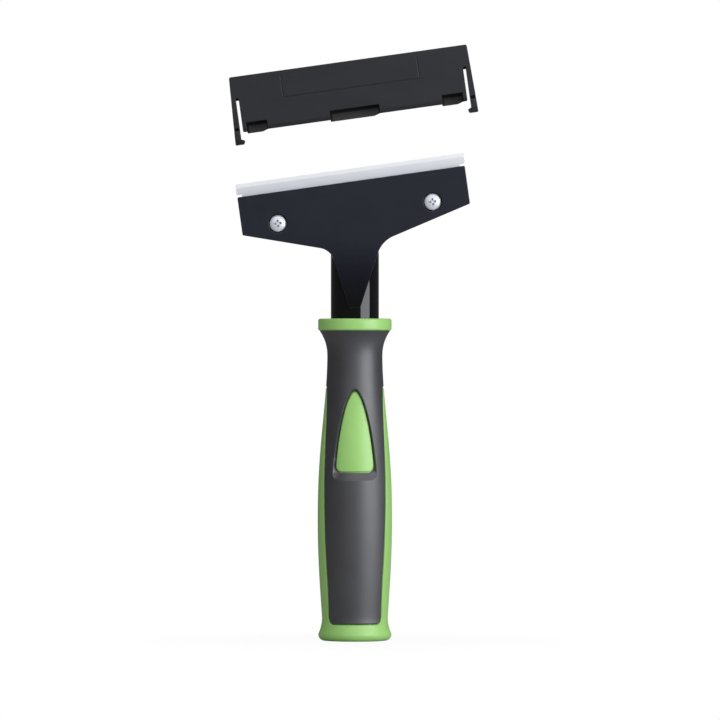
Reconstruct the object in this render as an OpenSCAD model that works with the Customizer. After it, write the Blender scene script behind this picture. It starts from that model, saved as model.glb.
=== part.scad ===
// Hand scraper for ceramic hobs: a two-colour grip, a head that stands askew on a round neck,
// a blade clamped behind the head by two screws, and a slip-on blade guard, shown lifted off.
// Millimetres. Z runs up the handle, X across the head, the front faces -Y, and the origin
// is the centre of the butt's end face.

/* [Handle] */
// Height of the handle from the butt to the top of the collar
handle_len = 140.1; // [130:0.1:170]
// Radius of the butt where it is widest
butt_r = 15.9; // [15:0.1:18]
// Height at which the butt is widest
butt_wide_z = 3; // [2.8:0.1:5]
// Radius that rounds the butt's lower edge
butt_edge_r = 2.6; // [0.5:0.1:2.7]
// Radius of the narrow place above the butt
butt_neck_r = 14.3; // [13.5:0.1:14.8]
// Height of the narrow place above the butt
butt_neck_z = 10.1; // [9:0.1:14]
// Radius of the belly of the grip
belly_r = 16.2; // [15:0.1:19]
// Height of the belly of the grip
belly_z = 52; // [40:0.5:60]
// Radius of the waist below the collar
waist_r = 12; // [11.5:0.1:13]
// Height from the waist to the underside of the collar
flare_h = 10.6; // [8:0.1:14]
// Radius of the grip where it meets the collar
flare_r = 15.4; // [14.5:0.1:16]
// Radius of the collar
collar_r = 16; // [15.5:0.1:19]
// Height of the collar
collar_h = 5.2; // [4:0.1:8]
// Radius that rounds the collar's edges
collar_edge_r = 0.9; // [0.3:0.1:1.5]

/* [Soft grip] */
// Thickness of the soft sleeve over the core
grip_t = 2; // [1.5:0.1:2.4]
// Height of the sleeve's lower edge above the butt
grip_low_z = 7.4; // [5:0.1:9]
// Widest half-width of a side stripe, seen from the side
stripe_half = 9.6; // [6:0.1:11]
// Height at which the side stripes are widest
stripe_wide_z = 30; // [20:0.5:40]
// Half-width of a side stripe at the sleeve's lower edge
stripe_low_half = 8.3; // [5:0.1:9]
// Distance from the collar down to the tips of the side stripes
stripe_drop = 22.4; // [18:0.1:30]
// Half-width of a side stripe at its blunt tip
stripe_tip_half = 3.4; // [2:0.1:5]
// Radius of the tip's corners
stripe_tip_r = 1.3; // [0.5:0.1:1.8]

/* [Thumb rest] */
// Distance from the collar down to the tip of the thumb rest
thumb_drop = 26.7; // [24:0.1:34]
// Length of the thumb rest
thumb_len = 34.6; // [28:0.1:40]
// Half-width of the thumb rest near its lower end
thumb_half = 8.2; // [6:0.1:9]
// Radius of the thumb rest's lower corners
thumb_corner_r = 1.7; // [1:0.1:3]
// Depth of the thumb rest below the sleeve's surface
thumb_depth = 1.2; // [0.6:0.1:1.4]
// Gap between the thumb rest and the sleeve round it
thumb_moat = 0.6; // [0.2:0.1:1]
// Length of the ramp below the thumb rest
thumb_ramp = 3.7; // [2.5:0.1:6]
// Radius of the ramp's lower corners
ramp_corner_r = 2.5; // [0.5:0.1:3]

/* [Pole socket] */
// Radius of the pole socket in the butt
socket_r = 8.5; // [6:0.1:9.5]
// Depth of the pole socket
socket_depth = 55; // [35:1:70]

/* [Neck] */
// Radius of the round neck
neck_r = 10.5; // [9:0.1:12]
// Depth to which the neck sinks into the collar
neck_sink = 3; // [2:0.1:4]
// Radius of the spigot inside the handle
spigot_r = 7; // [5.5:0.1:7.5]
// Length of the spigot below the neck
spigot_len = 39; // [32:0.5:50]
// Radius of the pin that locks the spigot in the handle
pin_r = 1.5; // [1:0.1:2]
// Distance from the collar's underside down to the pin
pin_drop = 17; // [14:0.1:19]
// How far the pin's ends lie below the core's surface, under the sleeve
pin_inset = 0.15; // [0.1:0.05:1]

/* [Head] */
// Height from the collar to the point where the head's own axis crosses the handle's
head_rise = 47.5; // [42:0.1:60]
// Angle by which the blade runs uphill to the right
skew = 7.95; // [0:0.05:10]
// Half-width of the head
head_half = 49.8; // [45:0.1:60]
// Distance from the crossing point up to the head's upper edge
head_up = 12; // [11:0.1:14]
// Distance from the crossing point down to the head's lower corners
head_down = 4.6; // [4.2:0.1:7]
// Slope of the head's lower edge on the left
slope_left = 17.3; // [14:0.1:19]
// Slope of the head's lower edge on the right
slope_right = 15.1; // [13:0.1:19]
// Fillet from the lower edge into the tongue on the left
fillet_left = 7.5; // [5:0.1:12]
// Fillet from the lower edge into the tongue on the right
fillet_right = 12; // [8:0.1:15]
// Half-angle of the tongue that runs down the neck
tongue_angle = 17.9; // [15:0.1:20]
// Half-width of the tongue's tip
tongue_tip = 2.3; // [1:0.1:3]
// Height of the tongue's tip above the collar
tongue_gap = 4.4; // [2:0.1:8]
// Height over which the head's front bends back onto the neck
bend_h = 29.9; // [20:0.1:34]
// How far the tongue's tip stands proud of the neck
tongue_proud = 0.3; // [0.2:0.1:0.8]
// How far the head's front stands in front of the neck
head_proud = 1.5; // [1:0.1:2.5]
// Thickness of the head's plate
head_t = 4.5; // [4:0.1:6]
// Radius of the corners of the plate and of the tongue's tip
plate_corner_r = 0.5; // [0.2:0.1:0.8]
// Height that the back of the neck loses where it runs out behind the head
back_slope_h = 20; // [14:0.5:26]

/* [Blade and clamp] */
// Half-width of the blade
blade_half = 50; // [45:0.1:60]
// Height of the blade
blade_h = 17; // [16.5:0.1:17.1]
// Thickness of the blade
blade_t = 0.6; // [0.4:0.05:1]
// Width of the blade's bevel
bevel_w = 1.7; // [0.8:0.1:2.5]
// How far the blade stands out of the head
blade_out = 5.7; // [4.5:0.1:6]
// Height of the full-width strip along the blade's edge
strip_h = 4.6; // [3:0.1:5]
// How much the blade is narrower at each end behind that strip
notch_w = 2.2; // [1:0.1:4]
// Thickness of the clamp plate
clamp_t = 2; // [1.5:0.1:2.5]
// Distance from the crossing point down to the clamp plate's lower edge
clamp_down = 6.2; // [5.5:0.1:7]
// Rise of the clamp plate's lower edge from the screws to its ends
clamp_end_rise = 2.2; // [1.7:0.1:3]
// Distance from the head's upper edge down to the clamp plate's
clamp_inset = 1.2; // [0.5:0.1:2]
// Radius of the clamp plate's corners
clamp_corner_r = 1; // [0.5:0.1:1.5]
// Travel of the clamp plate when the screws are slackened by a turn
clamp_travel = 0.7; // [0.5:0.1:1]

/* [Screws] */
// Distance between the screws
screw_pitch = 67.8; // [55:0.1:75]
// Distance from the crossing point down to the screws
screw_down = 1.6; // [1.6:0.1:2]
// Radius of a screw's shank
shank_r = 2; // [1.5:0.1:2.1]
// Radius of a screw's head
screw_head_r = 3.65; // [3:0.05:4]
// Height of a screw's head
screw_head_h = 2.2; // [1.8:0.1:2.5]
// Height of the straight side of a screw's head
screw_rim_h = 0.8; // [0.5:0.1:1.2]
// Width of the cross recess
cross_w = 1; // [0.6:0.1:1.2]
// Length of the cross recess
cross_len = 3.2; // [2.5:0.1:4.5]
// Depth of the cross recess
cross_depth = 1.1; // [0.8:0.1:1.4]
// Gap round a screw's head in its recess
recess_gap = 0.35; // [0.3:0.05:1]
// Radius of a press nut
nut_r = 3.3; // [2.8:0.1:4]

/* [Guard] */
// Half-width of the guard along its top edge
guard_half = 52; // [51.8:0.1:62]
// Height of the guard's body
guard_h = 24; // [23:0.1:26]
// Distance from the blade's edge to the guard's top when it is on
guard_over = 4.8; // [3:0.1:6]
// Angle by which each end leans outwards
guard_splay = 2.3; // [1:0.1:4]
// Wall of the guard
guard_wall = 1.2; // [0.8:0.1:1.6]
// Height by which the guard is lifted off, along the handle
guard_lift = 41.8; // [35:0.1:60]
// Depth below the top edge at which the clips part from the body
clip_top = 9.5; // [8:0.1:12]
// Distance from the guard's upper corner to a clip's inner side, which is square to the top edge
clip_t = 1.6; // [1.2:0.1:1.8]
// Distance from the top edge to the foot of a clip
clip_len = 29.4; // [29.3:0.1:32]
// Depth below the top edge at which a clip narrows
clip_step = 22.3; // [18:0.1:25]
// How far a clip is set back below that step, front and back
clip_set_back = 1.4; // [0.5:0.1:2]
// Reach of a clip's hook, from the guard's upper corner inwards
hook_reach = 3.2; // [2.8:0.1:3.8]
// Height of a clip's hook
hook_h = 2.1; // [1.5:0.1:2.3]
// Fall of the hook's upper side towards its tip
hook_fall = 0.6; // [0.5:0.1:0.9]
// Radius of the hook's tip
hook_tip_r = 0.6; // [0.2:0.1:0.6]
// Radius of a clip's other lower corners
clip_corner_r = 0.3; // [0.1:0.1:0.4]
// Width of the slot beside a clip
slot_w = 1.3; // [1:0.1:2]
// Depth below the top edge of the notches in the front wall
window_top = 20.3; // [18:0.1:21]
// Width of the notches at the ends
window_end_w = 9.2; // [6:0.1:12]
// Distance from the guard's ends to the notches there
window_end_gap = 4.6; // [4.5:0.1:8]
// Width of the notch in the middle
window_mid_w = 21.7; // [15:0.1:30]
// How far the back wall's tabs reach below the body
tab_down = 0.8; // [0.4:0.1:1.5]
// Length over which a tab tapers at its right end
tab_taper = 2.5; // [0.8:0.1:4]
// Radius of a tab's lower left corner
tab_corner_r = 0.5; // [0.2:0.1:0.7]
// Height of the bevel along the front wall's lower edge
lip_h = 1.3; // [0.8:0.1:2]
// Depth of that bevel
lip_depth = 0.7; // [0.3:0.05:0.75]
// Radius of the guard's upper corners
guard_corner_r = 0.8; // [0.3:0.1:2]
// Width of the engraved frame on the front wall
frame_w = 59.6; // [40:0.1:70]
// Height of the engraved frame
frame_h = 9.2; // [6:0.1:12]
// Depth of the engraved frame below the top edge
frame_drop = 2.5; // [2:0.1:5]
// Width of the engraved line
line_w = 0.4; // [0.3:0.05:0.8]

/* [Clearances] */
// Gap between pieces that are pressed or moulded together
fit_gap = 0.03; // [0.02:0.01:0.05]
// Gap round a screw's shank
shank_gap = 0.06; // [0.03:0.01:0.09]
// Gap between the guard and what it slides over
guard_gap = 0.4; // [0.3:0.05:0.6]

/* [Hidden] */

$fn = 96;
// steps along a curve of the handle's outline, and along a fillet
curve_steps = 14;
arc_steps = 8;
// length by which a cutter runs past what it cuts
over = 1;
// a size larger than the handle is thick, for cutters
wide = 60;
belly_ease = 1.25;
thumb_ease = 1.35;
thumb_round = 0.6;
line_depth = 0.25;
edge_flat = 0.05;
flank_inset = 0.5;

collar_z = handle_len - collar_h;
waist_z = collar_z - flare_h;
thumb_top_z = collar_z - thumb_drop;
thumb_low_z = thumb_top_z - thumb_len;
stripe_top_z = collar_z - stripe_drop;
neck_foot_z = handle_len - neck_sink;
spigot_foot_z = neck_foot_z - spigot_len;
pin_z = collar_z - pin_drop;
cross_z = handle_len + head_rise;
tongue_z = handle_len + tongue_gap;
// where the neck runs out behind the head's plate, just below the clamp plate
back_z = cross_z - clamp_down / cos(skew) - neck_r * tan(skew) - guard_gap;

// depths, from the front of the head to its back
head_front = -neck_r - head_proud;
seat_y = head_front + head_t;
clamp_front = seat_y + blade_t;
clamp_back = clamp_front + clamp_t;
guard_in_front = head_front - guard_gap;
guard_in_back = clamp_back + clamp_travel + guard_gap;
guard_front = guard_in_front - guard_wall;
guard_back = guard_in_back + guard_wall;
recess_floor = head_front + guard_gap + screw_head_h;

// heights along the head's own axis, from the crossing point
edge_q = head_up + blade_out;
blade_q = edge_q - blade_h;
guard_top_q = edge_q + guard_over;
guard_low_q = guard_top_q - guard_h;
recess_r = screw_head_r + recess_gap;
splay = tan(guard_splay);

// Radius of the grip at height z
function ease(s) = s * s * (3 - 2 * s);
function arc_radius(rise, run) = (rise * rise + run * run) / (2 * rise);
function arc_dip(rise, run, x) = let(r = arc_radius(rise, run)) r - sqrt(r * r - x * x);
function butt_part(z) =
    butt_neck_r + arc_dip(butt_r - butt_neck_r, butt_neck_z - butt_wide_z, butt_neck_z - z);
function lower_part(z) =
    butt_neck_r + (belly_r - butt_neck_r) * sin(90 * (z - butt_neck_z) / (belly_z - butt_neck_z));
function upper_part(z) =
    belly_r - (belly_r - waist_r) * ease(pow((z - belly_z) / (waist_z - belly_z), belly_ease));
function flare_part(z) = waist_r + arc_dip(flare_r - waist_r, flare_h, z - waist_z);
function grip_r(z) =
    z < butt_neck_z ? butt_part(z)
    : z < belly_z ? lower_part(z)
    : z < waist_z ? upper_part(z)
    : flare_part(z);

function steps(a, b, n) = [for (i = [0 : n]) a + (b - a) * i / n];
function tail(list) = [for (i = [1 : len(list) - 1]) list[i]];
// Heights at which the outline of the grip has its points, above a given height
grip_heights = concat(
    steps(butt_wide_z, butt_neck_z, arc_steps),
    tail(steps(butt_neck_z, belly_z, arc_steps)),
    tail(steps(belly_z, waist_z, curve_steps)),
    tail(steps(waist_z, collar_z, arc_steps)));
function heights_from(low, high) =
    concat([low], [for (z = grip_heights) if (z > low && z < high) z], [high]);
function grip_line(low, high, inset) =
    [for (z = heights_from(low, high)) [grip_r(z) - inset, z]];
function reversed(list) = [for (i = [len(list) - 1 : -1 : 0]) list[i]];
// Points of an arc about c, from angle a to angle b
function arc(c, r, a, b) = [for (t = steps(a, b, arc_steps)) c + r * [cos(t), sin(t)]];

// Corners of an outline, each rounded by its own radius
function unit(v) = v / norm(v);
function turned(v, t) = [v[0] * cos(t) - v[1] * sin(t), v[0] * sin(t) + v[1] * cos(t)];
function corner(a, b, c, r) =
    r == 0 ? [b] : let(
        u = unit(a - b),
        v = unit(c - b),
        half = acos(u * v) / 2,
        centre = b + unit(u + v) * r / sin(half),
        start = b + u * r / tan(half) - centre,
        side = u[0] * v[1] - u[1] * v[0] > 0 ? -1 : 1
    ) [for (t = steps(0, side * (180 - 2 * half), arc_steps)) centre + turned(start, t)];
function rounded(points, radii) = let(n = len(points)) [for (i = [0 : n - 1])
    each corner(points[(i + n - 1) % n], points[i], points[(i + 1) % n], radii[i])];
// An outline made of its right half, from the foot up, and the same mirrored
function both_sides(half) =
    concat(half, reversed([for (p = half) if (p[0] > edge_flat) [-p[0], p[1]]]));

// A point given along and across the blade, as a point of the handle's frame
function on_head(p, q) = [p * cos(skew) - q * sin(skew), cross_z + p * sin(skew) + q * cos(skew)];
// Where the line from a along u meets the line from b along v
function crossed(u, v) = u[0] * v[1] - u[1] * v[0];
function meet(a, u, b, v) = a + u * crossed(b - a, v) / crossed(u, v);

// An outline in X and Z, made solid from one depth to another
module through_y(front, back)
    translate([0, back, 0]) rotate([90, 0, 0]) linear_extrude(back - front) children();
// An outline in Y and Z, made solid along X on both sides of the middle
module through_x(half)
    translate([-half, 0, 0]) rotate([90, 0, 90]) linear_extrude(2 * half) children();
// The head's own frame, and the guard's, which is the same one lifted
module on_head_axis() translate([0, 0, cross_z]) rotate([0, -skew, 0]) children();
module on_guard_axis() translate([0, 0, guard_lift]) on_head_axis() children();
// A round piece along Y, from one depth to another
module bar_y(r, front, back)
    translate([0, back, 0]) rotate([90, 0, 0]) cylinder(r = r, h = back - front);
module at_screw(side) on_head_axis() translate([side * screw_pitch / 2, 0, -screw_down]) children();

// The handle's whole outer form, with the butt and the collar
module grip_body() rotate_extrude() polygon(concat(
    [[0, 0]],
    arc([butt_r - butt_edge_r, butt_edge_r], butt_edge_r, -90, 0),
    grip_line(butt_wide_z, collar_z, 0),
    arc([collar_r - collar_edge_r, collar_z + collar_edge_r], collar_edge_r, -90, 0),
    arc([collar_r - collar_edge_r, handle_len - collar_edge_r], collar_edge_r, 0, 90),
    [[0, handle_len]]));

// The ring of space from a depth below the grip's surface outwards
module grip_band(low, high, depth, proud) rotate_extrude() polygon(concat(
    grip_line(low, high, depth), reversed(grip_line(low, high, -proud))));

// The stripes on both sides, as one bar from side to side, with a gap added all round
module stripe_bar(gap) {
    foot_z = grip_low_z - over;
    half = stripe_half + gap;
    rise = stripe_top_z - stripe_wide_z + gap;
    tip = [stripe_tip_half + gap, stripe_top_z + gap];
    full_rise = rise / sqrt(1 - pow(tip[0] / half, 2));
    upper = [for (t = steps(0, asin((rise - stripe_tip_r) / full_rise), curve_steps))
        [half * cos(t), stripe_wide_z + full_rise * sin(t)]];
    lower = [for (s = steps(0, 1, arc_steps))
        [stripe_low_half + gap + (stripe_half - stripe_low_half) * sin(90 * s),
            foot_z + (stripe_wide_z - foot_z) * s]];
    through_x(wide / 2) polygon(both_sides(concat(lower, tail(upper),
        corner(upper[curve_steps], tip, [0, tip[1]], stripe_tip_r))));
}

// Half-width of the thumb rest at height z
function thumb_side(z, gap) = let(
    foot = thumb_low_z + thumb_corner_r,
    t = max(0, (z - foot) / (thumb_top_z + gap - foot))
) (thumb_half + gap) * pow(1 - pow(min(1, t), thumb_ease), thumb_round);

// The thumb rest's outline, grown by a gap, as a bar from the front to the middle
module thumb_bar(gap) {
    foot = thumb_low_z + thumb_corner_r;
    top = thumb_top_z + gap;
    side = [for (s = steps(0, 1, 2 * curve_steps)) let(z = top - (top - foot) * (1 - s) * (1 - s))
        [thumb_side(z, gap), z]];
    turn = arc([thumb_half - thumb_corner_r, foot], thumb_corner_r + gap, -90, 0);
    through_y(-wide / 2, 0) polygon(both_sides(concat(turn, tail(side))));
}

module handle_core() color([0.56, 0.78, 0.42]) difference() {
    grip_body();
    difference() {
        grip_band(grip_low_z, collar_z, grip_t, over);
        stripe_bar(0);
        difference() {
            thumb_bar(0);
            grip_band(grip_low_z, collar_z, thumb_depth, 2 * over);
        }
    }
    translate([0, 0, -over]) cylinder(r = socket_r, h = socket_depth + over);
    translate([0, 0, neck_foot_z - fit_gap]) cylinder(r = neck_r + fit_gap, h = neck_sink + over);
    translate([0, 0, spigot_foot_z - fit_gap]) cylinder(r = spigot_r + fit_gap, h = spigot_len + over);
    pin_hole(pin_r + fit_gap);
}

module pin_hole(r) translate([-wide / 2, 0, pin_z]) rotate([0, 90, 0]) cylinder(r = r, h = wide);

module grip_sleeve() color([0.27, 0.27, 0.3]) difference() {
    grip_band(grip_low_z + fit_gap, collar_z - fit_gap, grip_t - fit_gap, 0);
    stripe_bar(fit_gap);
    thumb_bar(thumb_moat);
    intersection() {
        thumb_ramp_bar();
        grip_band(grip_low_z + over, collar_z - over, grip_t + over, over);
    }
}

// The hollow below the thumb rest, whose floor runs down and out to the sleeve's surface
module thumb_ramp_bar() {
    foot_z = thumb_low_z - thumb_ramp;
    top_z = thumb_low_z + over;
    r = grip_r(foot_z);
    half = thumb_half + thumb_moat;
    intersection() {
        through_y(-wide / 2, 0) polygon(rounded(
            [[-half, foot_z], [half, foot_z], [half, top_z], [-half, top_z]],
            [ramp_corner_r, ramp_corner_r, 0, 0]));
        through_x(half + over) polygon([
            [-r, foot_z - over],
            [-r, foot_z],
            [-r + grip_t, top_z],
            [-r - over, top_z],
            [-r - over, foot_z - over]]);
    }
}

module retaining_pin() color("silver") {
    half = grip_r(pin_z) - grip_t - pin_inset;
    translate([-half, 0, pin_z]) rotate([0, 90, 0]) cylinder(r = pin_r, h = 2 * half);
}

// The head's outline with its tongue, from the upper left corner and round to the right
module head_outline() {
    slant = [tan(tongue_angle), 1];
    left_foot = on_head(-head_half, -head_down);
    right_foot = on_head(head_half, -head_down);
    left_run = [cos(skew - slope_left), sin(skew - slope_left)];
    right_run = [cos(180 + skew + slope_right), sin(180 + skew + slope_right)];
    tip = [tongue_tip, tongue_z];
    left_tip = [-tip[0], tip[1]];
    polygon(rounded([
            on_head(-head_half, head_up),
            on_head(head_half, head_up),
            right_foot,
            meet(right_foot, right_run, tip, slant),
            tip,
            left_tip,
            meet(left_foot, left_run, left_tip, [-slant[0], slant[1]]),
            left_foot],
        [plate_corner_r, plate_corner_r, plate_corner_r, fillet_right,
            plate_corner_r, plate_corner_r, fillet_left, plate_corner_r]));
}

// Space that the head may fill, seen from the side: its front bends back onto the neck
module head_side_form() {
    bend_z = tongue_z + bend_h;
    drop = head_proud - tongue_proud;
    front = [for (z = steps(0, bend_h, curve_steps)) [head_front + arc_dip(drop, bend_h, z), bend_z - z]];
    through_x(head_half + 2 * over) polygon(concat(
        [[over, cross_z + wide], [head_front, cross_z + wide]], front, [[over, tongue_z]]));
}

// The plate's slab, and a narrower bar that carries the tongue's flanks back to the neck's middle
module head_depth_form() {
    translate([-wide, head_front - wide, tongue_z - over]) cube([2 * wide, wide + head_t, 2 * wide]);
    through_x(neck_r - flank_inset) polygon([
        [head_front - over, tongue_z - 2 * over],
        [0, tongue_z - 2 * over],
        [0, back_slope_z(0) - flank_inset],
        [seat_y - over, back_slope_z(seat_y - over) - flank_inset],
        [head_front - over, back_slope_z(seat_y - over) - flank_inset]]);
}

// Height of the slope on which the back of the neck runs out, at a depth
function back_slope_z(y) = back_z - back_slope_h * (y - seat_y) / (neck_r - seat_y);

module neck() difference() {
    translate([0, 0, neck_foot_z]) cylinder(r = neck_r, h = back_z - neck_foot_z);
    through_x(neck_r + over) polygon([
        [seat_y - over, back_slope_z(seat_y - over)],
        [neck_r + over, back_slope_z(neck_r + over)],
        [neck_r + over, cross_z],
        [seat_y - over, cross_z]]);
}

module head_body() color([0.1, 0.1, 0.12]) difference() {
    union() {
        intersection() {
            through_y(head_front - over, 0) head_outline();
            head_side_form();
            head_depth_form();
        }
        neck();
        translate([0, 0, spigot_foot_z]) cylinder(r = spigot_r, h = spigot_len + over);
    }
    for (side = [-1, 1]) at_screw(side) {
        bar_y(shank_r + shank_gap, head_front - over, clamp_back + over);
        bar_y(recess_r, head_front - over, recess_floor);
    }
    pin_hole(pin_r + fit_gap);
}

module blade() color([0.82, 0.83, 0.86]) on_head_axis() difference() {
    through_x(blade_half) polygon([
        [seat_y, blade_q],
        [clamp_front, blade_q],
        [clamp_front, edge_q - bevel_w],
        [clamp_front - blade_t / 2 + edge_flat, edge_q],
        [seat_y + blade_t / 2 - edge_flat, edge_q],
        [seat_y, edge_q - bevel_w]]);
    for (side = [-1, 1]) translate([side * blade_half, 0, edge_q - strip_h - blade_h / 2])
        cube([2 * notch_w, wide, blade_h], center = true);
}

module clamp_plate() color([0.16, 0.16, 0.18]) difference() {
    half = head_half - guard_gap;
    foot = screw_pitch / 2 + nut_r;
    on_head_axis() through_y(clamp_front, clamp_back) polygon(rounded([
            [-half, -clamp_down + clamp_end_rise],
            [-foot, -clamp_down],
            [foot, -clamp_down],
            [half, -clamp_down + clamp_end_rise],
            [half, head_up - clamp_inset],
            [-half, head_up - clamp_inset]],
        [clamp_corner_r, 0, 0, clamp_corner_r, clamp_corner_r, clamp_corner_r]));
    for (side = [-1, 1]) at_screw(side) bar_y(nut_r + fit_gap, clamp_front - over, clamp_back + over);
}

module press_nut(side) color("silver") at_screw(side) difference() {
    bar_y(nut_r, clamp_front, clamp_back);
    bar_y(shank_r + shank_gap, clamp_front - over, clamp_back + over);
}
module press_nut_left() press_nut(-1);
module press_nut_right() press_nut(1);

// A screw with a domed head and a cross recess, its shank ending level with the press nut
module screw(side) color([0.9, 0.9, 0.92]) at_screw(side) difference() {
    dome_h = screw_head_h - screw_rim_h;
    dome_r = arc_radius(dome_h, screw_head_r);
    turn = asin(screw_head_r / dome_r);
    translate([0, clamp_back, 0]) rotate([90, 0, 0]) rotate_extrude() polygon(concat(
        [[0, 0], [shank_r, 0], [shank_r, clamp_back - recess_floor + fit_gap],
            [screw_head_r, clamp_back - recess_floor + fit_gap]],
        [for (t = steps(turn, 0, arc_steps)) [dome_r * sin(t),
            clamp_back - recess_floor + screw_rim_h + dome_h - dome_r + dome_r * cos(t)]]));
    for (t = [0, 90]) translate([0, recess_floor - screw_head_h, 0]) rotate([0, t, 0])
        cube([cross_w, 2 * cross_depth, cross_len], center = true);
}
module screw_left() screw(-1);
module screw_right() screw(1);

// Half-width of the guard at a depth below its top edge
function guard_side(v) = guard_half + v * splay;

module guard_shell() color([0.13, 0.13, 0.14]) on_guard_axis() difference() {
    union() {
        through_y(guard_front, guard_back) polygon(rounded([
                [-guard_half, guard_top_q],
                [guard_half, guard_top_q],
                [guard_side(guard_h), guard_low_q],
                [-guard_side(guard_h), guard_low_q]],
            [guard_corner_r, guard_corner_r, 0, 0]));
        guard_tabs();
    }
    // the pocket that the blade and the head's plate go into
    through_y(guard_in_front, guard_in_back) polygon([
        [-guard_half + guard_wall, guard_top_q - guard_wall],
        [guard_half - guard_wall, guard_top_q - guard_wall],
        [guard_side(guard_h + over) - guard_wall, guard_low_q - over - tab_down],
        [-guard_side(guard_h + over) + guard_wall, guard_low_q - over - tab_down]]);
    // the ends are open below the clips' roots
    end_inner = guard_half - clip_t - slot_w;
    for (side = [-1, 1])
        translate([side * (end_inner + wide / 2), 0, guard_top_q - clip_top - wide / 2])
            cube([wide, wide, wide], center = true);
    guard_windows();
    guard_lip();
    guard_frame();
}

// Places and widths of the three notches in the front wall
guard_notches = [
    [-guard_half + window_end_gap + window_end_w / 2, window_end_w],
    [0, window_mid_w],
    [guard_half - window_end_gap - window_end_w / 2, window_end_w]];

module guard_windows() for (n = guard_notches)
    through_y(guard_front - over, guard_in_front + over / 2)
        translate([n[0] - n[1] / 2, guard_low_q - over - tab_down])
            square([n[1], guard_h - window_top + over + tab_down]);

// Tabs of the back wall that show through the notches and reach below the body
module guard_tabs() for (n = guard_notches) through_y(guard_in_back, guard_back)
    polygon(rounded([
            [n[0] - n[1] / 2, guard_low_q + over],
            [n[0] + n[1] / 2, guard_low_q + over],
            [n[0] + n[1] / 2, guard_low_q],
            [n[0] + n[1] / 2 - tab_taper, guard_low_q - tab_down],
            [n[0] - n[1] / 2, guard_low_q - tab_down]],
        [0, 0, 0, 0, tab_corner_r]));

// The bevel along the front wall's lower edge
module guard_lip() through_x(guard_side(guard_h) + over) polygon([
    [guard_front - over, guard_low_q + lip_h],
    [guard_front, guard_low_q + lip_h],
    [guard_front + lip_depth, guard_low_q],
    [guard_front + lip_depth, guard_low_q - over],
    [guard_front - over, guard_low_q - over]]);

// The engraved frame: two short uprights and a long line under them
module guard_frame() {
    frame_top = guard_top_q - frame_drop;
    for (side = [-1, 1]) translate([side * frame_w / 2, guard_front, frame_top - frame_h / 2])
        cube([line_w, 2 * line_depth, frame_h], center = true);
    translate([0, guard_front, frame_top - frame_h])
        cube([frame_w + line_w, 2 * line_depth, line_w], center = true);
}

// A springy clip at one end of the guard, with a hook that catches under the head's corner
module guard_clip(side) color([0.13, 0.13, 0.14]) on_guard_axis() mirror([side > 0 ? 1 : 0, 0, 0])
    translate([-guard_half, 0, guard_top_q]) difference() {
        through_y(guard_front, guard_back) polygon(rounded([
                [-clip_top * splay, -clip_top],
                [-clip_len * splay, -clip_len],
                [hook_reach - hook_fall, -clip_len],
                [hook_reach, -clip_len + hook_h - hook_fall],
                [clip_t, -clip_len + hook_h],
                [clip_t, -clip_top]],
            [0, clip_corner_r, hook_tip_r, clip_corner_r, 0, 0]));
        for (y = [guard_front, guard_back]) translate([0, y, -clip_step - wide / 2])
            cube([wide, 2 * clip_set_back, wide], center = true);
    }
module guard_clip_left() guard_clip(-1);
module guard_clip_right() guard_clip(1);

handle_core();
grip_sleeve();
retaining_pin();
head_body();
blade();
clamp_plate();
press_nut_left();
press_nut_right();
screw_left();
screw_right();
guard_shell();
guard_clip_left();
guard_clip_right();
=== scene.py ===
from math import acos, asin, atan2, cos, pi, radians, sin, sqrt, tan

import bmesh
import bpy
import numpy as np
from mathutils import Matrix, Vector
from mathutils.geometry import delaunay_2d_cdt


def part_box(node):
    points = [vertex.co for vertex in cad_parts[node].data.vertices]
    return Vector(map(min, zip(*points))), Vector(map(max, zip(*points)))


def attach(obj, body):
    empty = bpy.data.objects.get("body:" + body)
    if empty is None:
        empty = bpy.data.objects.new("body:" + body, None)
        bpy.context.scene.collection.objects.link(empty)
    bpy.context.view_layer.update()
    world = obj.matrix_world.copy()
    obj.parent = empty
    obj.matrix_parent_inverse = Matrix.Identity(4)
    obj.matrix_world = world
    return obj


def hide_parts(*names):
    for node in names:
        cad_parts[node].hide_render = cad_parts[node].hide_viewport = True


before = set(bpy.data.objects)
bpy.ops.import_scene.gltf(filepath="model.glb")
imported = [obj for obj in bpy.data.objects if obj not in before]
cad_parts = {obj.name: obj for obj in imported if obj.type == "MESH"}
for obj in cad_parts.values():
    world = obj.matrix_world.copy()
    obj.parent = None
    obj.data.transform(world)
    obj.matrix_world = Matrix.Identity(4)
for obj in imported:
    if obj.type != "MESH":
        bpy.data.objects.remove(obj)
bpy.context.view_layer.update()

# A hand scraper for ceramic hobs: a two-colour grip, a glossy round neck with a tongue, a head
# that stands askew, a ground blade and its clamp, and a slip-on blade guard, lifted off.
# Sizes are in millimetres and become metres when a mesh is made. Outlines are complex numbers:
# the real part runs to the right as seen from the front, the imaginary part upwards.
MM = 0.001

# Handle
BUTT_R, BUTT_WIDE_Z, BUTT_EDGE_R = 15.9, 3.0, 2.6
BUTT_NECK_R, BUTT_NECK_Z = 14.3, 10.1
BELLY_R, BELLY_Z, BELLY_EASE = 16.2, 52.0, 1.25
WAIST_R, FLARE_H, FLARE_R = 12.0, 10.6, 15.4
COLLAR_R, COLLAR_H, COLLAR_EDGE_R = 16.0, 5.2, 0.9
SLEEVE_T, SLEEVE_LOW_Z = 2.0, 7.4
STRIPE_HALF, STRIPE_WIDE_Z, STRIPE_LOW_HALF, STRIPE_DROP = 9.6, 30.0, 8.3, 24.6
STRIPE_TIP_HALF, STRIPE_TIP_R, PANEL_CORNER_R = 2.5, 1.1, 3.4
SLEEVE_EDGE_R, SLEEVE_TOP_R, STRIPE_EDGE_R, GROOVE_W, GROOVE_DEPTH = 0.7, 0.15, 0.35, 0.3, 0.8
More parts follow.
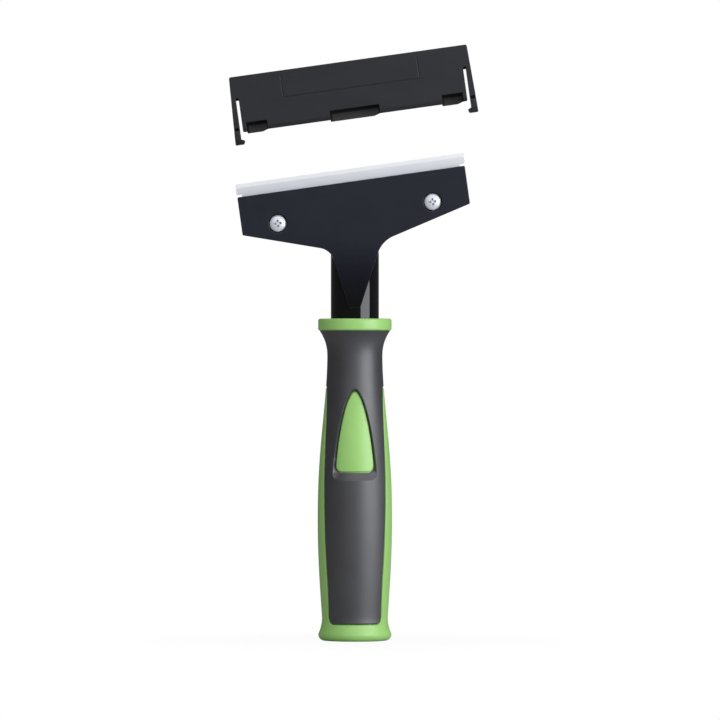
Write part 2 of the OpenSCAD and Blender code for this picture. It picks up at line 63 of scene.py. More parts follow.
SLEEVE_LEAST_T, UNDER_SLEEVE = 0.1, 0.05
SOCKET_R, SOCKET_DEPTH, SOCKET_EDGE = 8.5, 55.0, 0.4
SPIGOT_R, SPIGOT_LEN, SPIGOT_GAP = 7.0, 39.0, 0.2
NECK_SINK, NECK_HOLE_EDGE, FIT_GAP = 3.0, 0.3, 0.03

# Thumb rest
THUMB_DROP, THUMB_LEN, THUMB_HALF, THUMB_CORNER_R = 26.7, 34.6, 8.2, 2.4
THUMB_EASE, THUMB_ROUND = 1.32, 0.55
THUMB_DEPTH, THUMB_MOAT, THUMB_EDGE_R = 1.2, 0.45, 0.45
RIM_GROW, RIM_EDGE_R, RIM_EDGE_LEAST, RIM_DEPTH = 1.35, 0.3, 0.2, 1.35
RAMP_LEN, RAMP_CORNER_R = 3.7, 2.8

# Neck and head
NECK_R = 10.5
HEAD_HALF, HEAD_UP, HEAD_DOWN = 49.8, 13.6, 3.0
SLOPE_LEFT, SLOPE_RIGHT = 17.3, 15.1
FILLET_LEFT, FILLET_RIGHT = 7.5, 12.0
TONGUE_ANGLE, TONGUE_TIP, TONGUE_GAP = 17.9, 2.3, 4.4
BEND_H, TONGUE_PROUD, HEAD_PROUD = 29.9, 0.3, 1.5
HEAD_T, HEAD_EDGE_R, HEAD_CORNER_R = 4.5, 0.22, 0.6
# where the head turns from glossy neck to satin plate; the plate's colour fades darker down the tongue as
# painted shade of its bend
GLOSS_SHADE_LOW_Z, GLOSS_SHADE_HIGH_Z, GLOSS_FROM, GLOSS_TO = 143.0, 178.0, 0.1, 0.6
RECESS_R, RECESS_DEPTH, RECESS_EDGE_R = 4.1, 2.6, 0.2
FLANK_HALF, FLANK_TOP_Z, BACK_SLOPE_H, SLOPE_SUNK = 10.0, 190.0, 20.0, 0.5
NECK_BACK_GAP, CLAMP_FOOT_X = 0.4, 8.0

# Blade
BLADE_HALF, BLADE_H, BLADE_T, BLADE_OUT = 50.0, 17.0, 0.6, 5.7
BEVEL_W, BEVEL_DROP, BEVEL_BLUR, STRIP_H, NOTCH_W, BLADE_CORNER_R = 1.7, 0.25, 0.05, 4.6, 2.2, 0.3

# Screws
SCREW_HEAD_R, SCREW_HEAD_H, SCREW_RIM_H, SHANK_R = 3.65, 2.2, 1.3, 2.0
SHANK_EDGE, SCREW_EDGE, DOME_DROP = 0.3, 0.2, 0.1
CROSS_W, CROSS_LEN, CROSS_DEPTH = 0.85, 3.1, 1.8
# shares of the cross: its arms' depth, and the depth and length of the deep holes at their ends
ARM_DEPTH, HOLE_DEPTH, HOLE_LEN = 0.6, 2.0, 1.05

# Guard
GUARD_WALL, NOTCH_TOP, NOTCH_PITCH, NOTCH_HALVES = 1.2, 20.3, 42.8, (4.6, 10.85, 4.6)
# the painted shade on the back wall inside the notches: its height, width on the left and right, and blurs
NOTCH_SHADE, SHADE_LEFT, SHADE_RIGHT, SHADE_START = 1.2, 0.9, 0.4, 0.5
TAB_BLUR_P, TAB_BLUR_Q, WALL_FRONT, WALL_BACK = 0.15, 0.2, (0.5, 0.2), (-2.5, -2.0)
SLOT_IN, SLOT_OUT, SLOT_TOP, WEB_H, WEB_IN, WEB_T = 48.6, 50.35, 9.5, 0.9, 3.0, 1.6
GUARD_EDGE_R, CLAMP_EDGE_R = 0.2, 0.3
CLIP_FALLS, CLIP_SET_BACK, CLIP_FACE = (22.2, 23.6, 27.5, 29.4), (1.5, 0.0, 0.0, 2.6), (1.0, 3.0)

# Radius at which the grip is unrolled
UNWRAP_R = 15.0

# Steps of curves, and the spacing of the points that the triangles stand on
ROUND_STEPS, ARC_STEPS, CIRCLE_STEPS, THUMB_STEPS = 96, 8, 48, 40
TURN_STEPS, PROFILE_STEPS, DOME_STEPS, NECK_RINGS, BEVEL_SEGMENTS = 64, 90, 14, 16, 3
OUTLINE_STEP, ROW_STEP, ROW_START, ROW_END = 0.9, 1.8, 1.5, 0.6
PANEL_START, PANEL_STEPS, STRIPE_STEPS = 1.6, 9, 28
SLEEVE_CLEAR, CORE_CLEAR, RIM_CLEAR = 1.3, 1.0, 0.9
HOLLOW_HALF, HOLLOW_PAST, HOLLOW_STEP_X, HOLLOW_STEP_Z = 11.0, 1.5, 0.55, 0.45
HOLLOW_CLEAR, HOLD_CLEAR = 0.28, 0.12
PLATE_STEP, PLATE_PAST, PLATE_TOP_Z, FLANK_STEPS = 1.6, 3.0, 212.0, 34
PLATE_CLEAR, RECESS_CLEAR, FLANK_CLEAR = 0.5, 0.8, 0.4
BLADE_COLUMNS, BLADE_ROWS, BLADE_SPOT_P, BLADE_SPOT_TOP = 48, 8, 47.0, 2.5
# a ring that keeps the flat beside a rounded edge flat, the run of a steep wall, and a hair's width
EDGE_HOLD, WALL_RUN, HAIR = 0.15, 0.04, 0.02
# distances within which points are one, in millimetres for the first two and in metres for the
# others, and the degrees within which faces are flat
WELD, SPOT_DIST, MERGE_DIST, CUT_DIST, FLAT_ANGLE = 0.0004, 1e-5, 1e-6, 1e-7, 0.8
PLACES_AT_ONCE = 2000


# Places that come from the frame, in millimetres
def box_mm(node):
    low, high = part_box(node)
    return low / MM, high / MM


def middle_mm(node):
    low, high = box_mm(node)
    return (low + high) / 2


handle_top = box_mm("handle_core")[1].z
collar_z = handle_top - COLLAR_H
waist_z = collar_z - FLARE_H
stripe_top_z = collar_z - STRIPE_DROP
thumb_top_z = collar_z - THUMB_DROP
thumb_low_z = thumb_top_z - THUMB_LEN
neck_foot_z = handle_top - NECK_SINK
spigot_foot_z = neck_foot_z - SPIGOT_LEN
tongue_z = handle_top + TONGUE_GAP
head_front = box_mm("head_body")[0].y
seat_y = head_front + HEAD_T
screw_left, screw_right = middle_mm("screw_left"), middle_mm("screw_right")
skew = atan2(screw_right.z - screw_left.z, screw_right.x - screw_left.x)
along = complex(cos(skew), sin(skew))
screws_mid = (complex(screw_left.x, screw_left.z) + complex(screw_right.x, screw_right.z)) / 2
half_pitch = abs(complex(screw_right.x - screw_left.x, screw_right.z - screw_left.z)) / 2
clamp_low = box_mm("clamp_plate")[0]
guard_low, guard_high = box_mm("guard_shell")


def on_head(p, q):
    """A place given along the blade and up from the line through the screws."""
    return screws_mid + (p + 1j * q) * along


def head_place(v):
    """A vertex's place along the blade and up from the line through the screws."""
    return (complex(v.co.x, v.co.z) / MM - screws_mid) / along


guard_spots = np.array([head_place(v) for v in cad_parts["guard_shell"].data.vertices])
guard_mid = (guard_spots.real.min() + guard_spots.real.max()) / 2
guard_top = guard_spots.imag.max()


# Outlines
def turn_corner(a, b, c, r):
    """The corner at b, rounded, on the way from a to c."""
    if r == 0:
        return [b]
    u, v = (a - b) / abs(a - b), (c - b) / abs(c - b)
    half = acos((u * v.conjugate()).real) / 2
    centre = b + (u + v) / abs(u + v) * r / sin(half)
    start = b + u * r / tan(half) - centre
    side = -1 if (u.conjugate() * v).imag > 0 else 1
    turn = side * (pi - 2 * half)
    angles = [turn * i / ARC_STEPS for i in range(ARC_STEPS + 1)]
    return [centre + start * complex(cos(t), sin(t)) for t in angles]


def rounded(corners):
    """A closed outline from (place, radius) pairs."""
    n = len(corners)
    return np.array([p for i, (b, r) in enumerate(corners)
                     for p in turn_corner(corners[i - 1][0], b, corners[(i + 1) % n][0], r)])


def circle(centre, r):
    return centre + r * np.exp(2j * pi * np.arange(CIRCLE_STEPS) / CIRCLE_STEPS)


def moved_out(line, d, closed=True):
    """The outline moved to its right-hand side, which is outwards for one that runs anticlockwise."""
    before = np.roll(line, 1) if closed else np.concatenate([[2 * line[0] - line[1]], line[:-1]])
    after = np.roll(line, -1) if closed else np.concatenate([line[1:], [2 * line[-1] - line[-2]]])
    u, v = (line - before) / abs(line - before), (after - line) / abs(after - line)
    mean = (u + v) / abs(u + v)
    return line - 1j * mean * d / np.maximum((mean * u.conjugate()).real, 0.5)


def resampled(line):
    """The same open line with its long straight runs cut into steps."""
    parts = [a + (b - a) * np.arange(n) / n for a, b in zip(line, line[1:])
             for n in [max(1, int(np.ceil(abs(b - a) / OUTLINE_STEP)))]]
    return np.concatenate([*parts, line[-1:]])


def in_parts(work, places):
    """Runs the work on a part of the places at a time, which keeps its tables small."""
    parts = max(1, len(places) // PLACES_AT_ONCE)
    return np.concatenate([work(p[:, None]) for p in np.array_split(places, parts)])


def distance(line, places, closed=True):
    """How far each place lies from the line."""
    a = line if closed else line[:-1]
    b = np.roll(line, -1) if closed else line[1:]
    run = (b - a)[None, :]

    def nearest(p):
        share = np.clip(((p - a) * run.conjugate()).real / abs(run) ** 2, 0, 1)
        return abs(p - a - share * run).min(1)
    return in_parts(nearest, places)


def is_inside(line, places):
    """Which places lie inside the closed outline."""
    a, b = line[None, :], np.roll(line, -1)[None, :]
    level = a.imag == b.imag

    def crossings(p):
        astride = (a.imag > p.imag) != (b.imag > p.imag)
        x = a.real + (p.imag - a.imag) * (b.real - a.real) / (b.imag - a.imag + level)
        return (astride & (p.real < x)).sum(1) % 2 == 1
    return in_parts(crossings, places)


def edge_drop(d, r):
    """How far a rounded edge has dropped at a distance inside it."""
    return r - np.sqrt(np.maximum(r * r - np.clip(r - d, 0, r) ** 2, 0))


def edge_rings(r):
    """Distances of the rings that draw a rounded edge; the last one keeps the flat beside it flat."""
    return [r * (1 - sin(radians(t))) for t in (90, 67.5, 45, 22.5, 0)] + [r + EDGE_HOLD]


def ease(t):
    t = np.clip(t, 0, 1)
    return t * t * (3 - 2 * t)


def grid(low, high, step_x, step_z):
    nx, nz = int((high.real - low.real) / step_x) + 1, int((high.imag - low.imag) / step_z) + 1
    x, z = np.meshgrid(np.linspace(low.real, high.real, nx), np.linspace(low.imag, high.imag, nz))
    return (x + 1j * z).ravel()


# Meshes
def triangulated(lines, spots, keep):
    """Triangles over a flat area: lines are (outline, closed) pairs that the triangles keep to."""
    places, edges = [], []
    for line, closed in lines:
        first, count = len(places), len(line)
        places += list(line)
        edges += [(first + i, first + (i + 1) % count) for i in range(count if closed else count - 1)]
    places += list(spots)
    made = delaunay_2d_cdt([Vector((p.real, p.imag)) for p in places], edges, [], 0, SPOT_DIST)
    flat = np.array([complex(*v) for v in made[0]])
    faces = np.array([f for f in made[2] if len(f) == 3])
    return flat, faces[keep(flat[faces].mean(1))]


def sheet(flat, faces, front, back):
    """A closed shell with the same triangles on its front and back."""
    top, low = front(flat), back(flat)
    _, first, again = np.unique(np.round(np.hstack([top, low]), 4), axis=0, return_index=True,
                                return_inverse=True)
    faces, top, low = again.reshape(-1)[faces], top[first], low[first]
    faces = faces[(faces != np.roll(faces, 1, axis=1)).all(1)]
    n = len(top)
    runs = {(f[i], f[(i + 1) % 3]) for f in faces.tolist() for i in range(3)}
    walls = [(b, a, a + n, b + n) for a, b in sorted(runs) if (b, a) not in runs]
    back_faces = [[c + n, b + n, a + n] for a, b, c in faces.tolist()]
    return np.vstack([top, low]), faces.tolist() + back_faces + walls


def turned_rings(profile, steps=ROUND_STEPS):
    """A surface turned about the handle's axis from (radius, height) pairs; radius 0 closes it."""
    places, faces = [], []
    for r, z in profile:
        for i in range(steps):
            t = 2 * pi * i / steps - pi
            places.append((r * sin(t), -r * cos(t), z))
    for k in range(len(profile) - 1):
        for i in range(steps):
            j = (i + 1) % steps
            faces.append([k * steps + i, k * steps + j, (k + 1) * steps + j, (k + 1) * steps + i])
    return np.array(places), faces


def joined(*shells):
    places, faces = [], []
    for where, which in shells:
        faces += [[i + len(places) for i in f] for f in which]
        places += [tuple(p) for p in where]
    return places, faces


def made_mesh(name, shell):
    """A mesh in metres from places in millimetres, welded, with its faces turned outwards."""
    places, faces = shell
    mesh = bpy.data.meshes.new(name)
    bm = bmesh.new()
    corners = [bm.verts.new(Vector(p) * MM) for p in places]
    for f in faces:
        bm.faces.new([corners[i] for i in f])
    bmesh.ops.remove_doubles(bm, verts=bm.verts, dist=WELD * MM)
    bmesh.ops.dissolve_degenerate(bm, edges=bm.edges, dist=WELD * MM / 4)
    bmesh.ops.recalc_face_normals(bm, faces=bm.faces)
    bm.to_mesh(mesh)
    bm.free()
    return mesh


def piece(name, mesh, body, nodes, material=None, sharp=38):
    """Puts a mesh in the scene as the piece that stands for the CAD nodes named."""
    obj = bpy.data.objects.new(name, mesh)
    bpy.context.scene.collection.objects.link(obj)
    mesh.shade_smooth()
    mesh.set_sharp_from_angle(angle=radians(sharp))
    if material:
        mesh.materials.clear()
        mesh.materials.append(material)
    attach(obj, body)
    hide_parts(*nodes)
    return obj


def evaluated(obj, name):
    """The object's mesh with its modifiers applied; the object itself is removed."""
    bpy.context.view_layer.update()
    graph = bpy.context.evaluated_depsgraph_get()
    mesh = bpy.data.meshes.new_from_object(obj.evaluated_get(graph))
    mesh.name = name
    bpy.data.objects.remove(obj)
    return mesh


def loose(name, mesh):
    obj = bpy.data.objects.new(name, mesh)
    bpy.context.scene.collection.objects.link(obj)
    return obj


# Node trees
class Value:
    """A socket of a node tree. Sums and products of sockets add Math nodes."""

    def __init__(self, tree, socket):
        self.tree, self.socket = tree, socket

    def out(self, name):
        return Value(self.tree, self.socket.node.outputs[name])

    def _math(self, operation, *inputs):
        return self.tree.add("ShaderNodeMath", inputs, operation=operation)

    def __add__(self, other):
        return self._math("ADD", self, other)

    def __sub__(self, other):
        return self._math("SUBTRACT", self, other)

    def __rsub__(self, other):
        return self._math("SUBTRACT", other, self)

    def __mul__(self, other):
        return self._math("MULTIPLY", self, other)

    __radd__, __rmul__ = __add__, __mul__

    def step(self, low, high):
        """0 below low and 1 above high, or the other way round where low is the larger."""
        return self.tree.add("ShaderNodeMapRange", {"Value": self, "From Min": low, "From Max": high},
                             interpolation_type="SMOOTHSTEP")

    def past(self, start, end):
        """The same for places in millimetres."""
        return self.step(start * MM, end * MM)


class Tree:
    """A node tree that is written as expressions."""

    def __init__(self, tree):
        self.tree = tree

    def add(self, kind, inputs=(), out=0, **settings):
        """A new node; its inputs are sockets or constants, by name or in order."""
        node = self.tree.nodes.new(kind)
        for name, value in settings.items():
            setattr(node, name, value)
        for key, value in (inputs.items() if isinstance(inputs, dict) else enumerate(inputs)):
            if isinstance(value, Value):
                self.tree.links.new(value.socket, node.inputs[key])
            elif value is not None:
                node.inputs[key].default_value = value
        return Value(self, node.outputs[out]) if node.outputs else node

    def mix(self, share, a, b):
        a, b = (c if isinstance(c, Value) else (*c, 1) for c in (a, b))
        return self.add("ShaderNodeMix", {0: share, 6: a, 7: b}, out=2, data_type="RGBA")

    def noise(self, where, size, detail=2.0, rough=0.5):
        """Noise from 0 to 1 whose blobs are about size millimetres across."""
        return self.add("ShaderNodeTexNoise", {"Vector": where, "Scale": 1 / (size * MM),
                                               "Detail": detail, "Roughness": rough})


class Finish(Tree):
    """A material under construction, on the piece's own Object coordinates."""

    def __init__(self, name):
        self.material = bpy.data.materials.new(name)
        self.material.use_nodes = True
        super().__init__(self.material.node_tree)
        self.shader = self.tree.nodes["Principled BSDF"]
        self.where = self.add("ShaderNodeTexCoord").out("Object")
        self.normal = None

    def along_head(self, share):
        """Object coordinates turned to the head, and drawn out along it where the share is small."""
        return self.add("ShaderNodeMapping", {"Vector": self.where, "Rotation": (0, -skew, 0),
                                              "Scale": (share, 1, 1)})

    def axes(self):
        split = self.add("ShaderNodeSeparateXYZ", [self.where])
        return split, split.out("Y"), split.out("Z")

    def bump(self, height, depth):
        """Relief whose height value spans depth millimetres."""
        self.normal = self.add("ShaderNodeBump", {"Height": height, "Distance": depth * MM,
                                                  "Strength": 1.0, "Normal": self.normal})

    def done(self, **inputs):
        if self.normal:
            inputs["Normal"] = self.normal
        for name, value in inputs.items():
            socket = self.shader.inputs[name.replace("_", " ")]
            if isinstance(value, Value):
                self.tree.links.new(value.socket, socket)
            else:
                socket.default_value = (*value, 1) if isinstance(value, tuple) else value
        return self.material


def green_plastic():
    f = Finish("green_plastic")
    cloud = f.noise(f.where, 9, 3)
    grain = f.noise(f.where, 0.35, 3, 0.6)
    colour = f.mix(cloud.step(0.3, 0.7), (0.333, 0.638, 0.169), (0.353, 0.670, 0.186))
    f.bump(grain, 0.02)
    rough = grain.step(0.2, 0.8) * 0.08 + 0.34
    return f.done(Base_Color=colour, Roughness=rough, Specular_IOR_Level=0.62)


def soft_grip():
    f = Finish("soft_grip")
    cells = f.add("ShaderNodeTexVoronoi", {"Vector": f.where, "Scale": 1 / (0.32 * MM)})
    cloud = f.noise(f.where, 12, 3)
    fine = f.noise(f.where, 0.12, 2)
    colour = f.mix(cloud.step(0.3, 0.7), (0.028, 0.028, 0.0345), (0.032, 0.032, 0.0395))
    f.bump(cells.step(0.0, 0.7), 0.014)
    f.bump(fine, 0.006)
    rough = cloud.step(0.25, 0.75) * 0.06 + 0.46
    return f.done(Base_Color=colour, Roughness=rough, Specular_IOR_Level=1.35)


def head_plastic():
    f = Finish("head_plastic")
    grain = f.noise(f.where, 0.28, 3, 0.6)
    cloud = f.noise(f.where, 14, 3)
    _, y, z = f.axes()
    # the plate is satin and lighter in colour, and the mask's smooth fall down the tongue paints the shade
    # of the bend into the colour
    plate = y.past(-NECK_R - GLOSS_FROM, -NECK_R - GLOSS_TO) * z.past(GLOSS_SHADE_LOW_Z, GLOSS_SHADE_HIGH_Z)
    flow = f.noise(f.along_head(0.15), 3)
    colour = f.mix(plate, (0.0036, 0.0037, 0.0044), (0.0102, 0.0119, 0.0222))
    f.bump(grain * plate, 0.012)
    rough = plate * (0.20 + 0.06 * flow) + 0.07 + cloud.step(0.3, 0.7) * 0.02
    return f.done(Base_Color=colour, Roughness=rough)


def blade_steel():
    f = Finish("blade_steel")
    lines = f.noise(f.along_head(0.012), 0.16, 4, 0.6)
    cloud = f.noise(f.where, 10, 3)
    x, _, z = f.axes()
    start = (screws_mid / along).imag + HEAD_UP + BLADE_OUT - BEVEL_W
    ground = (z * cos(skew) - x * sin(skew)).past(start - BEVEL_BLUR, start + BEVEL_BLUR)
    colour = f.mix(lines.step(0.35, 0.65), (0.84, 0.86, 0.90), (0.88, 0.90, 0.94))
    colour = f.mix(ground, colour, (0.87, 0.88, 0.90))
    f.bump(lines, 0.003)
    rough = cloud.step(0.3, 0.7) * 0.05 + 0.42
    return f.done(Base_Color=colour, Metallic=0.5, Roughness=rough)


def sheet_steel(name, colour_a, colour_b, rough, size, metallic=1.0):
    f = Finish(name)
    grain = f.noise(f.where, size, 4, 0.6)
    cloud = f.noise(f.where, 6, 3)
    colour = f.mix(cloud.step(0.3, 0.7), colour_a, colour_b)
    f.bump(grain, 0.004)
    rough = grain.step(0.3, 0.7) * 0.08 + rough
    return f.done(Base_Color=colour, Metallic=metallic, Roughness=rough)


def clamp_paint():
    f = Finish("clamp_paint")
    peel = f.noise(f.where, 0.9, 2)
    f.bump(peel, 0.02)
    colour = f.mix(peel, (0.014, 0.014, 0.016), (0.02, 0.02, 0.022))
    return f.done(Base_Color=colour, Roughness=0.42)


def guard_plastic():
    f = Finish("guard_plastic")
    grain = f.noise(f.where, 0.3, 3, 0.6)
    cloud = f.noise(f.along_head(0.4), 12, 3)
    colour = f.mix(cloud.step(0.3, 0.7), (0.0135, 0.014, 0.0185), (0.016, 0.0165, 0.0215))
    x, y, z = f.axes()
    # the back wall shows through the notches: painted light makes its tabs pale, and painted shade makes the
    # rest near black
    face, centre = guard_high.y - GUARD_WALL, screws_mid / along
    inner = y.past(*(face + d for d in WALL_FRONT)) * y.past(*(face + d for d in WALL_BACK))
    p, q = x * cos(skew) + z * sin(skew), z * cos(skew) - x * sin(skew)
    top = centre.imag + guard_top - NOTCH_TOP
    painted_light_tab = 0.0
    for side, half in zip((-1, 0, 1), NOTCH_HALVES):
        middle = centre.real + guard_mid + side * NOTCH_PITCH
        near, far = middle - half + SHADE_LEFT, middle + half - SHADE_RIGHT
        painted_light_tab = painted_light_tab + (p.past(near - TAB_BLUR_P, near + TAB_BLUR_P)
                     * p.past(far + TAB_BLUR_P, far - TAB_BLUR_P))
    low = top - NOTCH_SHADE
    painted_light_tab = painted_light_tab * q.past(low + TAB_BLUR_Q, low - TAB_BLUR_Q)
    # painted shade along the top of each notch, then painted light on the tabs
    colour = f.mix(inner * q.past(top + SHADE_START, top), colour, (0.002, 0.002, 0.002))
    colour = f.mix(inner * painted_light_tab, colour, (0.043, 0.043, 0.040))
    f.bump(grain, 0.014)
    return f.done(Base_Color=colour, Roughness=grain.step(0.2, 0.8) * 0.06 + 0.33)


GREEN, GRIP, HEAD, STEEL = green_plastic(), soft_grip(), head_plastic(), blade_steel()
CLAMP, GUARD = clamp_paint(), guard_plastic()
ZINC = sheet_steel("plain_steel", (0.55, 0.55, 0.57), (0.62, 0.62, 0.64), 0.3, 0.4)
NICKEL = sheet_steel("screw_plating", (0.80, 0.82, 0.87), (0.84, 0.86, 0.91), 0.38, 0.2, metallic=0.4)


# Handle
def arc_radius(rise, run):
    return (rise * rise + run * run) / (2 * rise)


def arc_dip(rise, run, x):
    r = arc_radius(rise, run)
    return r - np.sqrt(np.maximum(r * r - x * x, 0))


def grip_r(z):
    """Radius of the grip at a height, from the butt to the collar."""
    z = np.asarray(z, float)
    butt = BUTT_NECK_R + arc_dip(BUTT_R - BUTT_NECK_R, BUTT_NECK_Z - BUTT_WIDE_Z, BUTT_NECK_Z - z)
    share = (z - BUTT_NECK_Z) / (BELLY_Z - BUTT_NECK_Z)
    lower = BUTT_NECK_R + (BELLY_R - BUTT_NECK_R) * np.sin(pi / 2 * share)
    share = np.clip((z - BELLY_Z) / (waist_z - BELLY_Z), 0, 1) ** BELLY_EASE
    upper = BELLY_R - (BELLY_R - WAIST_R) * ease(share)
    flare = WAIST_R + arc_dip(FLARE_R - WAIST_R, FLARE_H, z - waist_z)
    return np.select([z < BUTT_NECK_Z, z < BELLY_Z, z < waist_z], [butt, lower, upper], flare)


def wrapped(places, drop):
    """Places of the unrolled grip as places in space, sunk below its surface."""
    turn, r = places.real / UNWRAP_R, grip_r(places.imag) - drop
    return np.column_stack([r * np.sin(turn), -r * np.cos(turn), places.imag])


def unwrapped(x, z, drop=0.0):
    """Where a point of the front view lies on the unrolled grip, sunk below its surface."""
    return UNWRAP_R * np.arcsin(np.clip(x / (grip_r(z) - drop), -1, 1)) + 1j * z


back_seam = UNWRAP_R * pi


def stripe_side(z):
    """Half-width of a side stripe at a height, seen from the side."""
    rise = (stripe_top_z - STRIPE_WIDE_Z) / sqrt(1 - (STRIPE_TIP_HALF / STRIPE_HALF) ** 2)
    up = STRIPE_HALF * np.sqrt(np.maximum(1 - (np.maximum(z - STRIPE_WIDE_Z, 0) / rise) ** 2, 0))
    low = STRIPE_LOW_HALF + (STRIPE_HALF - STRIPE_LOW_HALF) * np.sin(
        pi / 2 * np.clip((z - SLEEVE_LOW_Z) / (STRIPE_WIDE_Z - SLEEVE_LOW_Z), 0, 1))
    return np.where(z < STRIPE_WIDE_Z, low, up)


def sleeve_border():
    """The sleeve's lower edge on the unrolled grip: round both panels and over both stripes."""
    heights = np.concatenate([
        np.linspace(SLEEVE_LOW_Z + PANEL_START * PANEL_CORNER_R, STRIPE_WIDE_Z, PANEL_STEPS)[:-1],
        np.linspace(STRIPE_WIDE_Z, stripe_top_z - STRIPE_TIP_R, STRIPE_STEPS)])
    half = unwrapped(stripe_side(heights), heights)
    ends = np.array([SLEEVE_LOW_Z, stripe_top_z])
    foot, tip = unwrapped(stripe_side(ends), ends)
    down = [(tip, STRIPE_TIP_R), *((p, 0) for p in half[::-1]), (foot, PANEL_CORNER_R)]
    stripe = [(-p.conjugate(), r) for p, r in down[::-1]] + down
    quarter = back_seam / 2
    start, end = complex(-back_seam, SLEEVE_LOW_Z), complex(back_seam, SLEEVE_LOW_Z)
    corners = [(start, 0), *((p + way * quarter, r) for way in (-1, 1) for p, r in stripe), (end, 0)]
    line = [start]
    for (a, _), (b, r), (c, _) in zip(corners, corners[1:], corners[2:]):
        line += turn_corner(a, b, c, r)
    return resampled(np.array(line + [end]))


def thumb_outline(grow, extend, corner_r, drop):
    """The thumb rest's outline on the unrolled grip, anticlockwise, grown and drawn out downwards."""
    low, top, half = thumb_low_z - extend, thumb_top_z + grow, THUMB_HALF + grow
    share = 1 - (1 - np.linspace(0, 1, THUMB_STEPS)) ** 2
    heights = low + corner_r + (top - low - corner_r) * share
    widths = half * (1 - share ** THUMB_EASE) ** THUMB_ROUND
    turn = np.exp(1j * np.radians(np.linspace(-90, 0, ARC_STEPS + 1)))[:-1]
    lower = complex(half - corner_r, low + corner_r) + corner_r * turn
    right = np.concatenate([[1j * low], lower, widths + 1j * heights])
    right = resampled(unwrapped(right.real, right.imag, drop))
    return np.concatenate([right, -right[::-1][1:-1].conjugate()])


border = sleeve_border()
thumb = thumb_outline(0, 0, THUMB_CORNER_R, THUMB_DEPTH)
window = moved_out(thumb, THUMB_MOAT)
rim = thumb_outline(RIM_GROW, RAMP_LEN, RAMP_CORNER_R, 0)


def hollow_drop(places):
    """Depth of the hollow round the thumb rest: steep at its sides, a ramp at its foot."""
    to_rim, to_window = distance(rim, places), distance(window, places)
    up = ease((places.imag - thumb_low_z + RAMP_CORNER_R) / RAMP_LEN)
    edge_r = RIM_EDGE_R * (RIM_EDGE_LEAST + (1 - RIM_EDGE_LEAST) * up)
    wall = edge_r + (RIM_DEPTH - edge_r) * to_rim / (to_rim + to_window)
    return np.where(is_inside(rim, places), wall, edge_drop(to_rim, edge_r))


def seam_lines(low_z, high_z, levels):
    """The unrolled sheet's frame, with the same points on both sides of the seam."""
    heights = sorted({round(h, 6) for h in [low_z, high_z, *levels] if low_z <= h <= high_z})
    sides = [np.array([complex(s * back_seam, h) for h in heights]) for s in (-1, 1)]
    steps = np.linspace(-back_seam, back_seam, ROUND_STEPS + 1)
    return [(side, False) for side in sides] + [(steps + 1j * h, False) for h in (low_z, high_z)]


def grip_spots(low_z, high_z, clear):
    """Spots on the open parts of the unrolled grip, off its edges."""
    rows = np.arange(low_z + ROW_START, high_z - ROW_END, ROW_STEP)
    step = 2 * back_seam / ROUND_STEPS
    columns = np.arange(-back_seam + step, back_seam - step / 2, step)
    spots = (columns[None, :] + 1j * rows[:, None]).ravel()
    near = np.minimum(distance(border, spots, closed=False), distance(thumb, spots))
    return spots[near > clear], list(rows)


def above_border(high_z):
    """The part of the unrolled grip that the sleeve covers."""
    return np.concatenate([border, [complex(back_seam, high_z + 1), complex(-back_seam, high_z + 1)]])


def grip_sleeve():
    low_z, high_z = SLEEVE_LOW_Z, box_mm("grip_sleeve")[1].z
    rings = [moved_out(border, -d, closed=False) for d in edge_rings(SLEEVE_EDGE_R)]
    top_rings = edge_rings(SLEEVE_TOP_R)[1:]
    spots, rows = grip_spots(low_z, high_z, SLEEVE_CLEAR)
    levels = rows + [float(r[0].imag) for r in rings] + [high_z - d for d in top_rings]
    lines = [(r, False) for r in rings] + [(window, True)]
    lines += [(moved_out(rim, d), True) for d in edge_rings(RIM_EDGE_R)]
    lines += seam_lines(low_z, high_z, levels)
    steps = np.linspace(-back_seam, back_seam, ROUND_STEPS + 1)
    lines += [(steps + 1j * (high_z - d), False) for d in top_rings]
    spots = spots[distance(rim, spots) > RIM_CLEAR]
    close = grid(complex(-HOLLOW_HALF, thumb_low_z - RAMP_LEN - HOLLOW_PAST),
                 complex(HOLLOW_HALF, thumb_low_z + HOLLOW_PAST), HOLLOW_STEP_X, HOLLOW_STEP_Z)
    to_rim = distance(rim, close)
    off = np.minimum(distance(window, close), to_rim) > HOLLOW_CLEAR
    off &= abs(to_rim - RIM_EDGE_R - EDGE_HOLD) > HOLD_CLEAR
    spots = np.concatenate([spots[~is_inside(rim, spots)], close[off & ~is_inside(window, close)]])
    region = above_border(high_z)

    def keep(p):
        return is_inside(region, p) & ~is_inside(window, p)

    def outside(p):
        drop = np.maximum.reduce([
            edge_drop(distance(border, p, closed=False), SLEEVE_EDGE_R),
            edge_drop(high_z - p.imag, SLEEVE_TOP_R),
            hollow_drop(p)])
        return wrapped(p, np.minimum(drop, SLEEVE_T - SLEEVE_LEAST_T))

    flat, faces = triangulated(lines, spots, keep)
    shell = sheet(flat, faces, outside, lambda p: wrapped(p, SLEEVE_T - FIT_GAP))
    mesh = made_mesh("soft_sleeve", shell)
    return piece("soft_sleeve", mesh, "scraper", ["grip_sleeve"], GRIP)


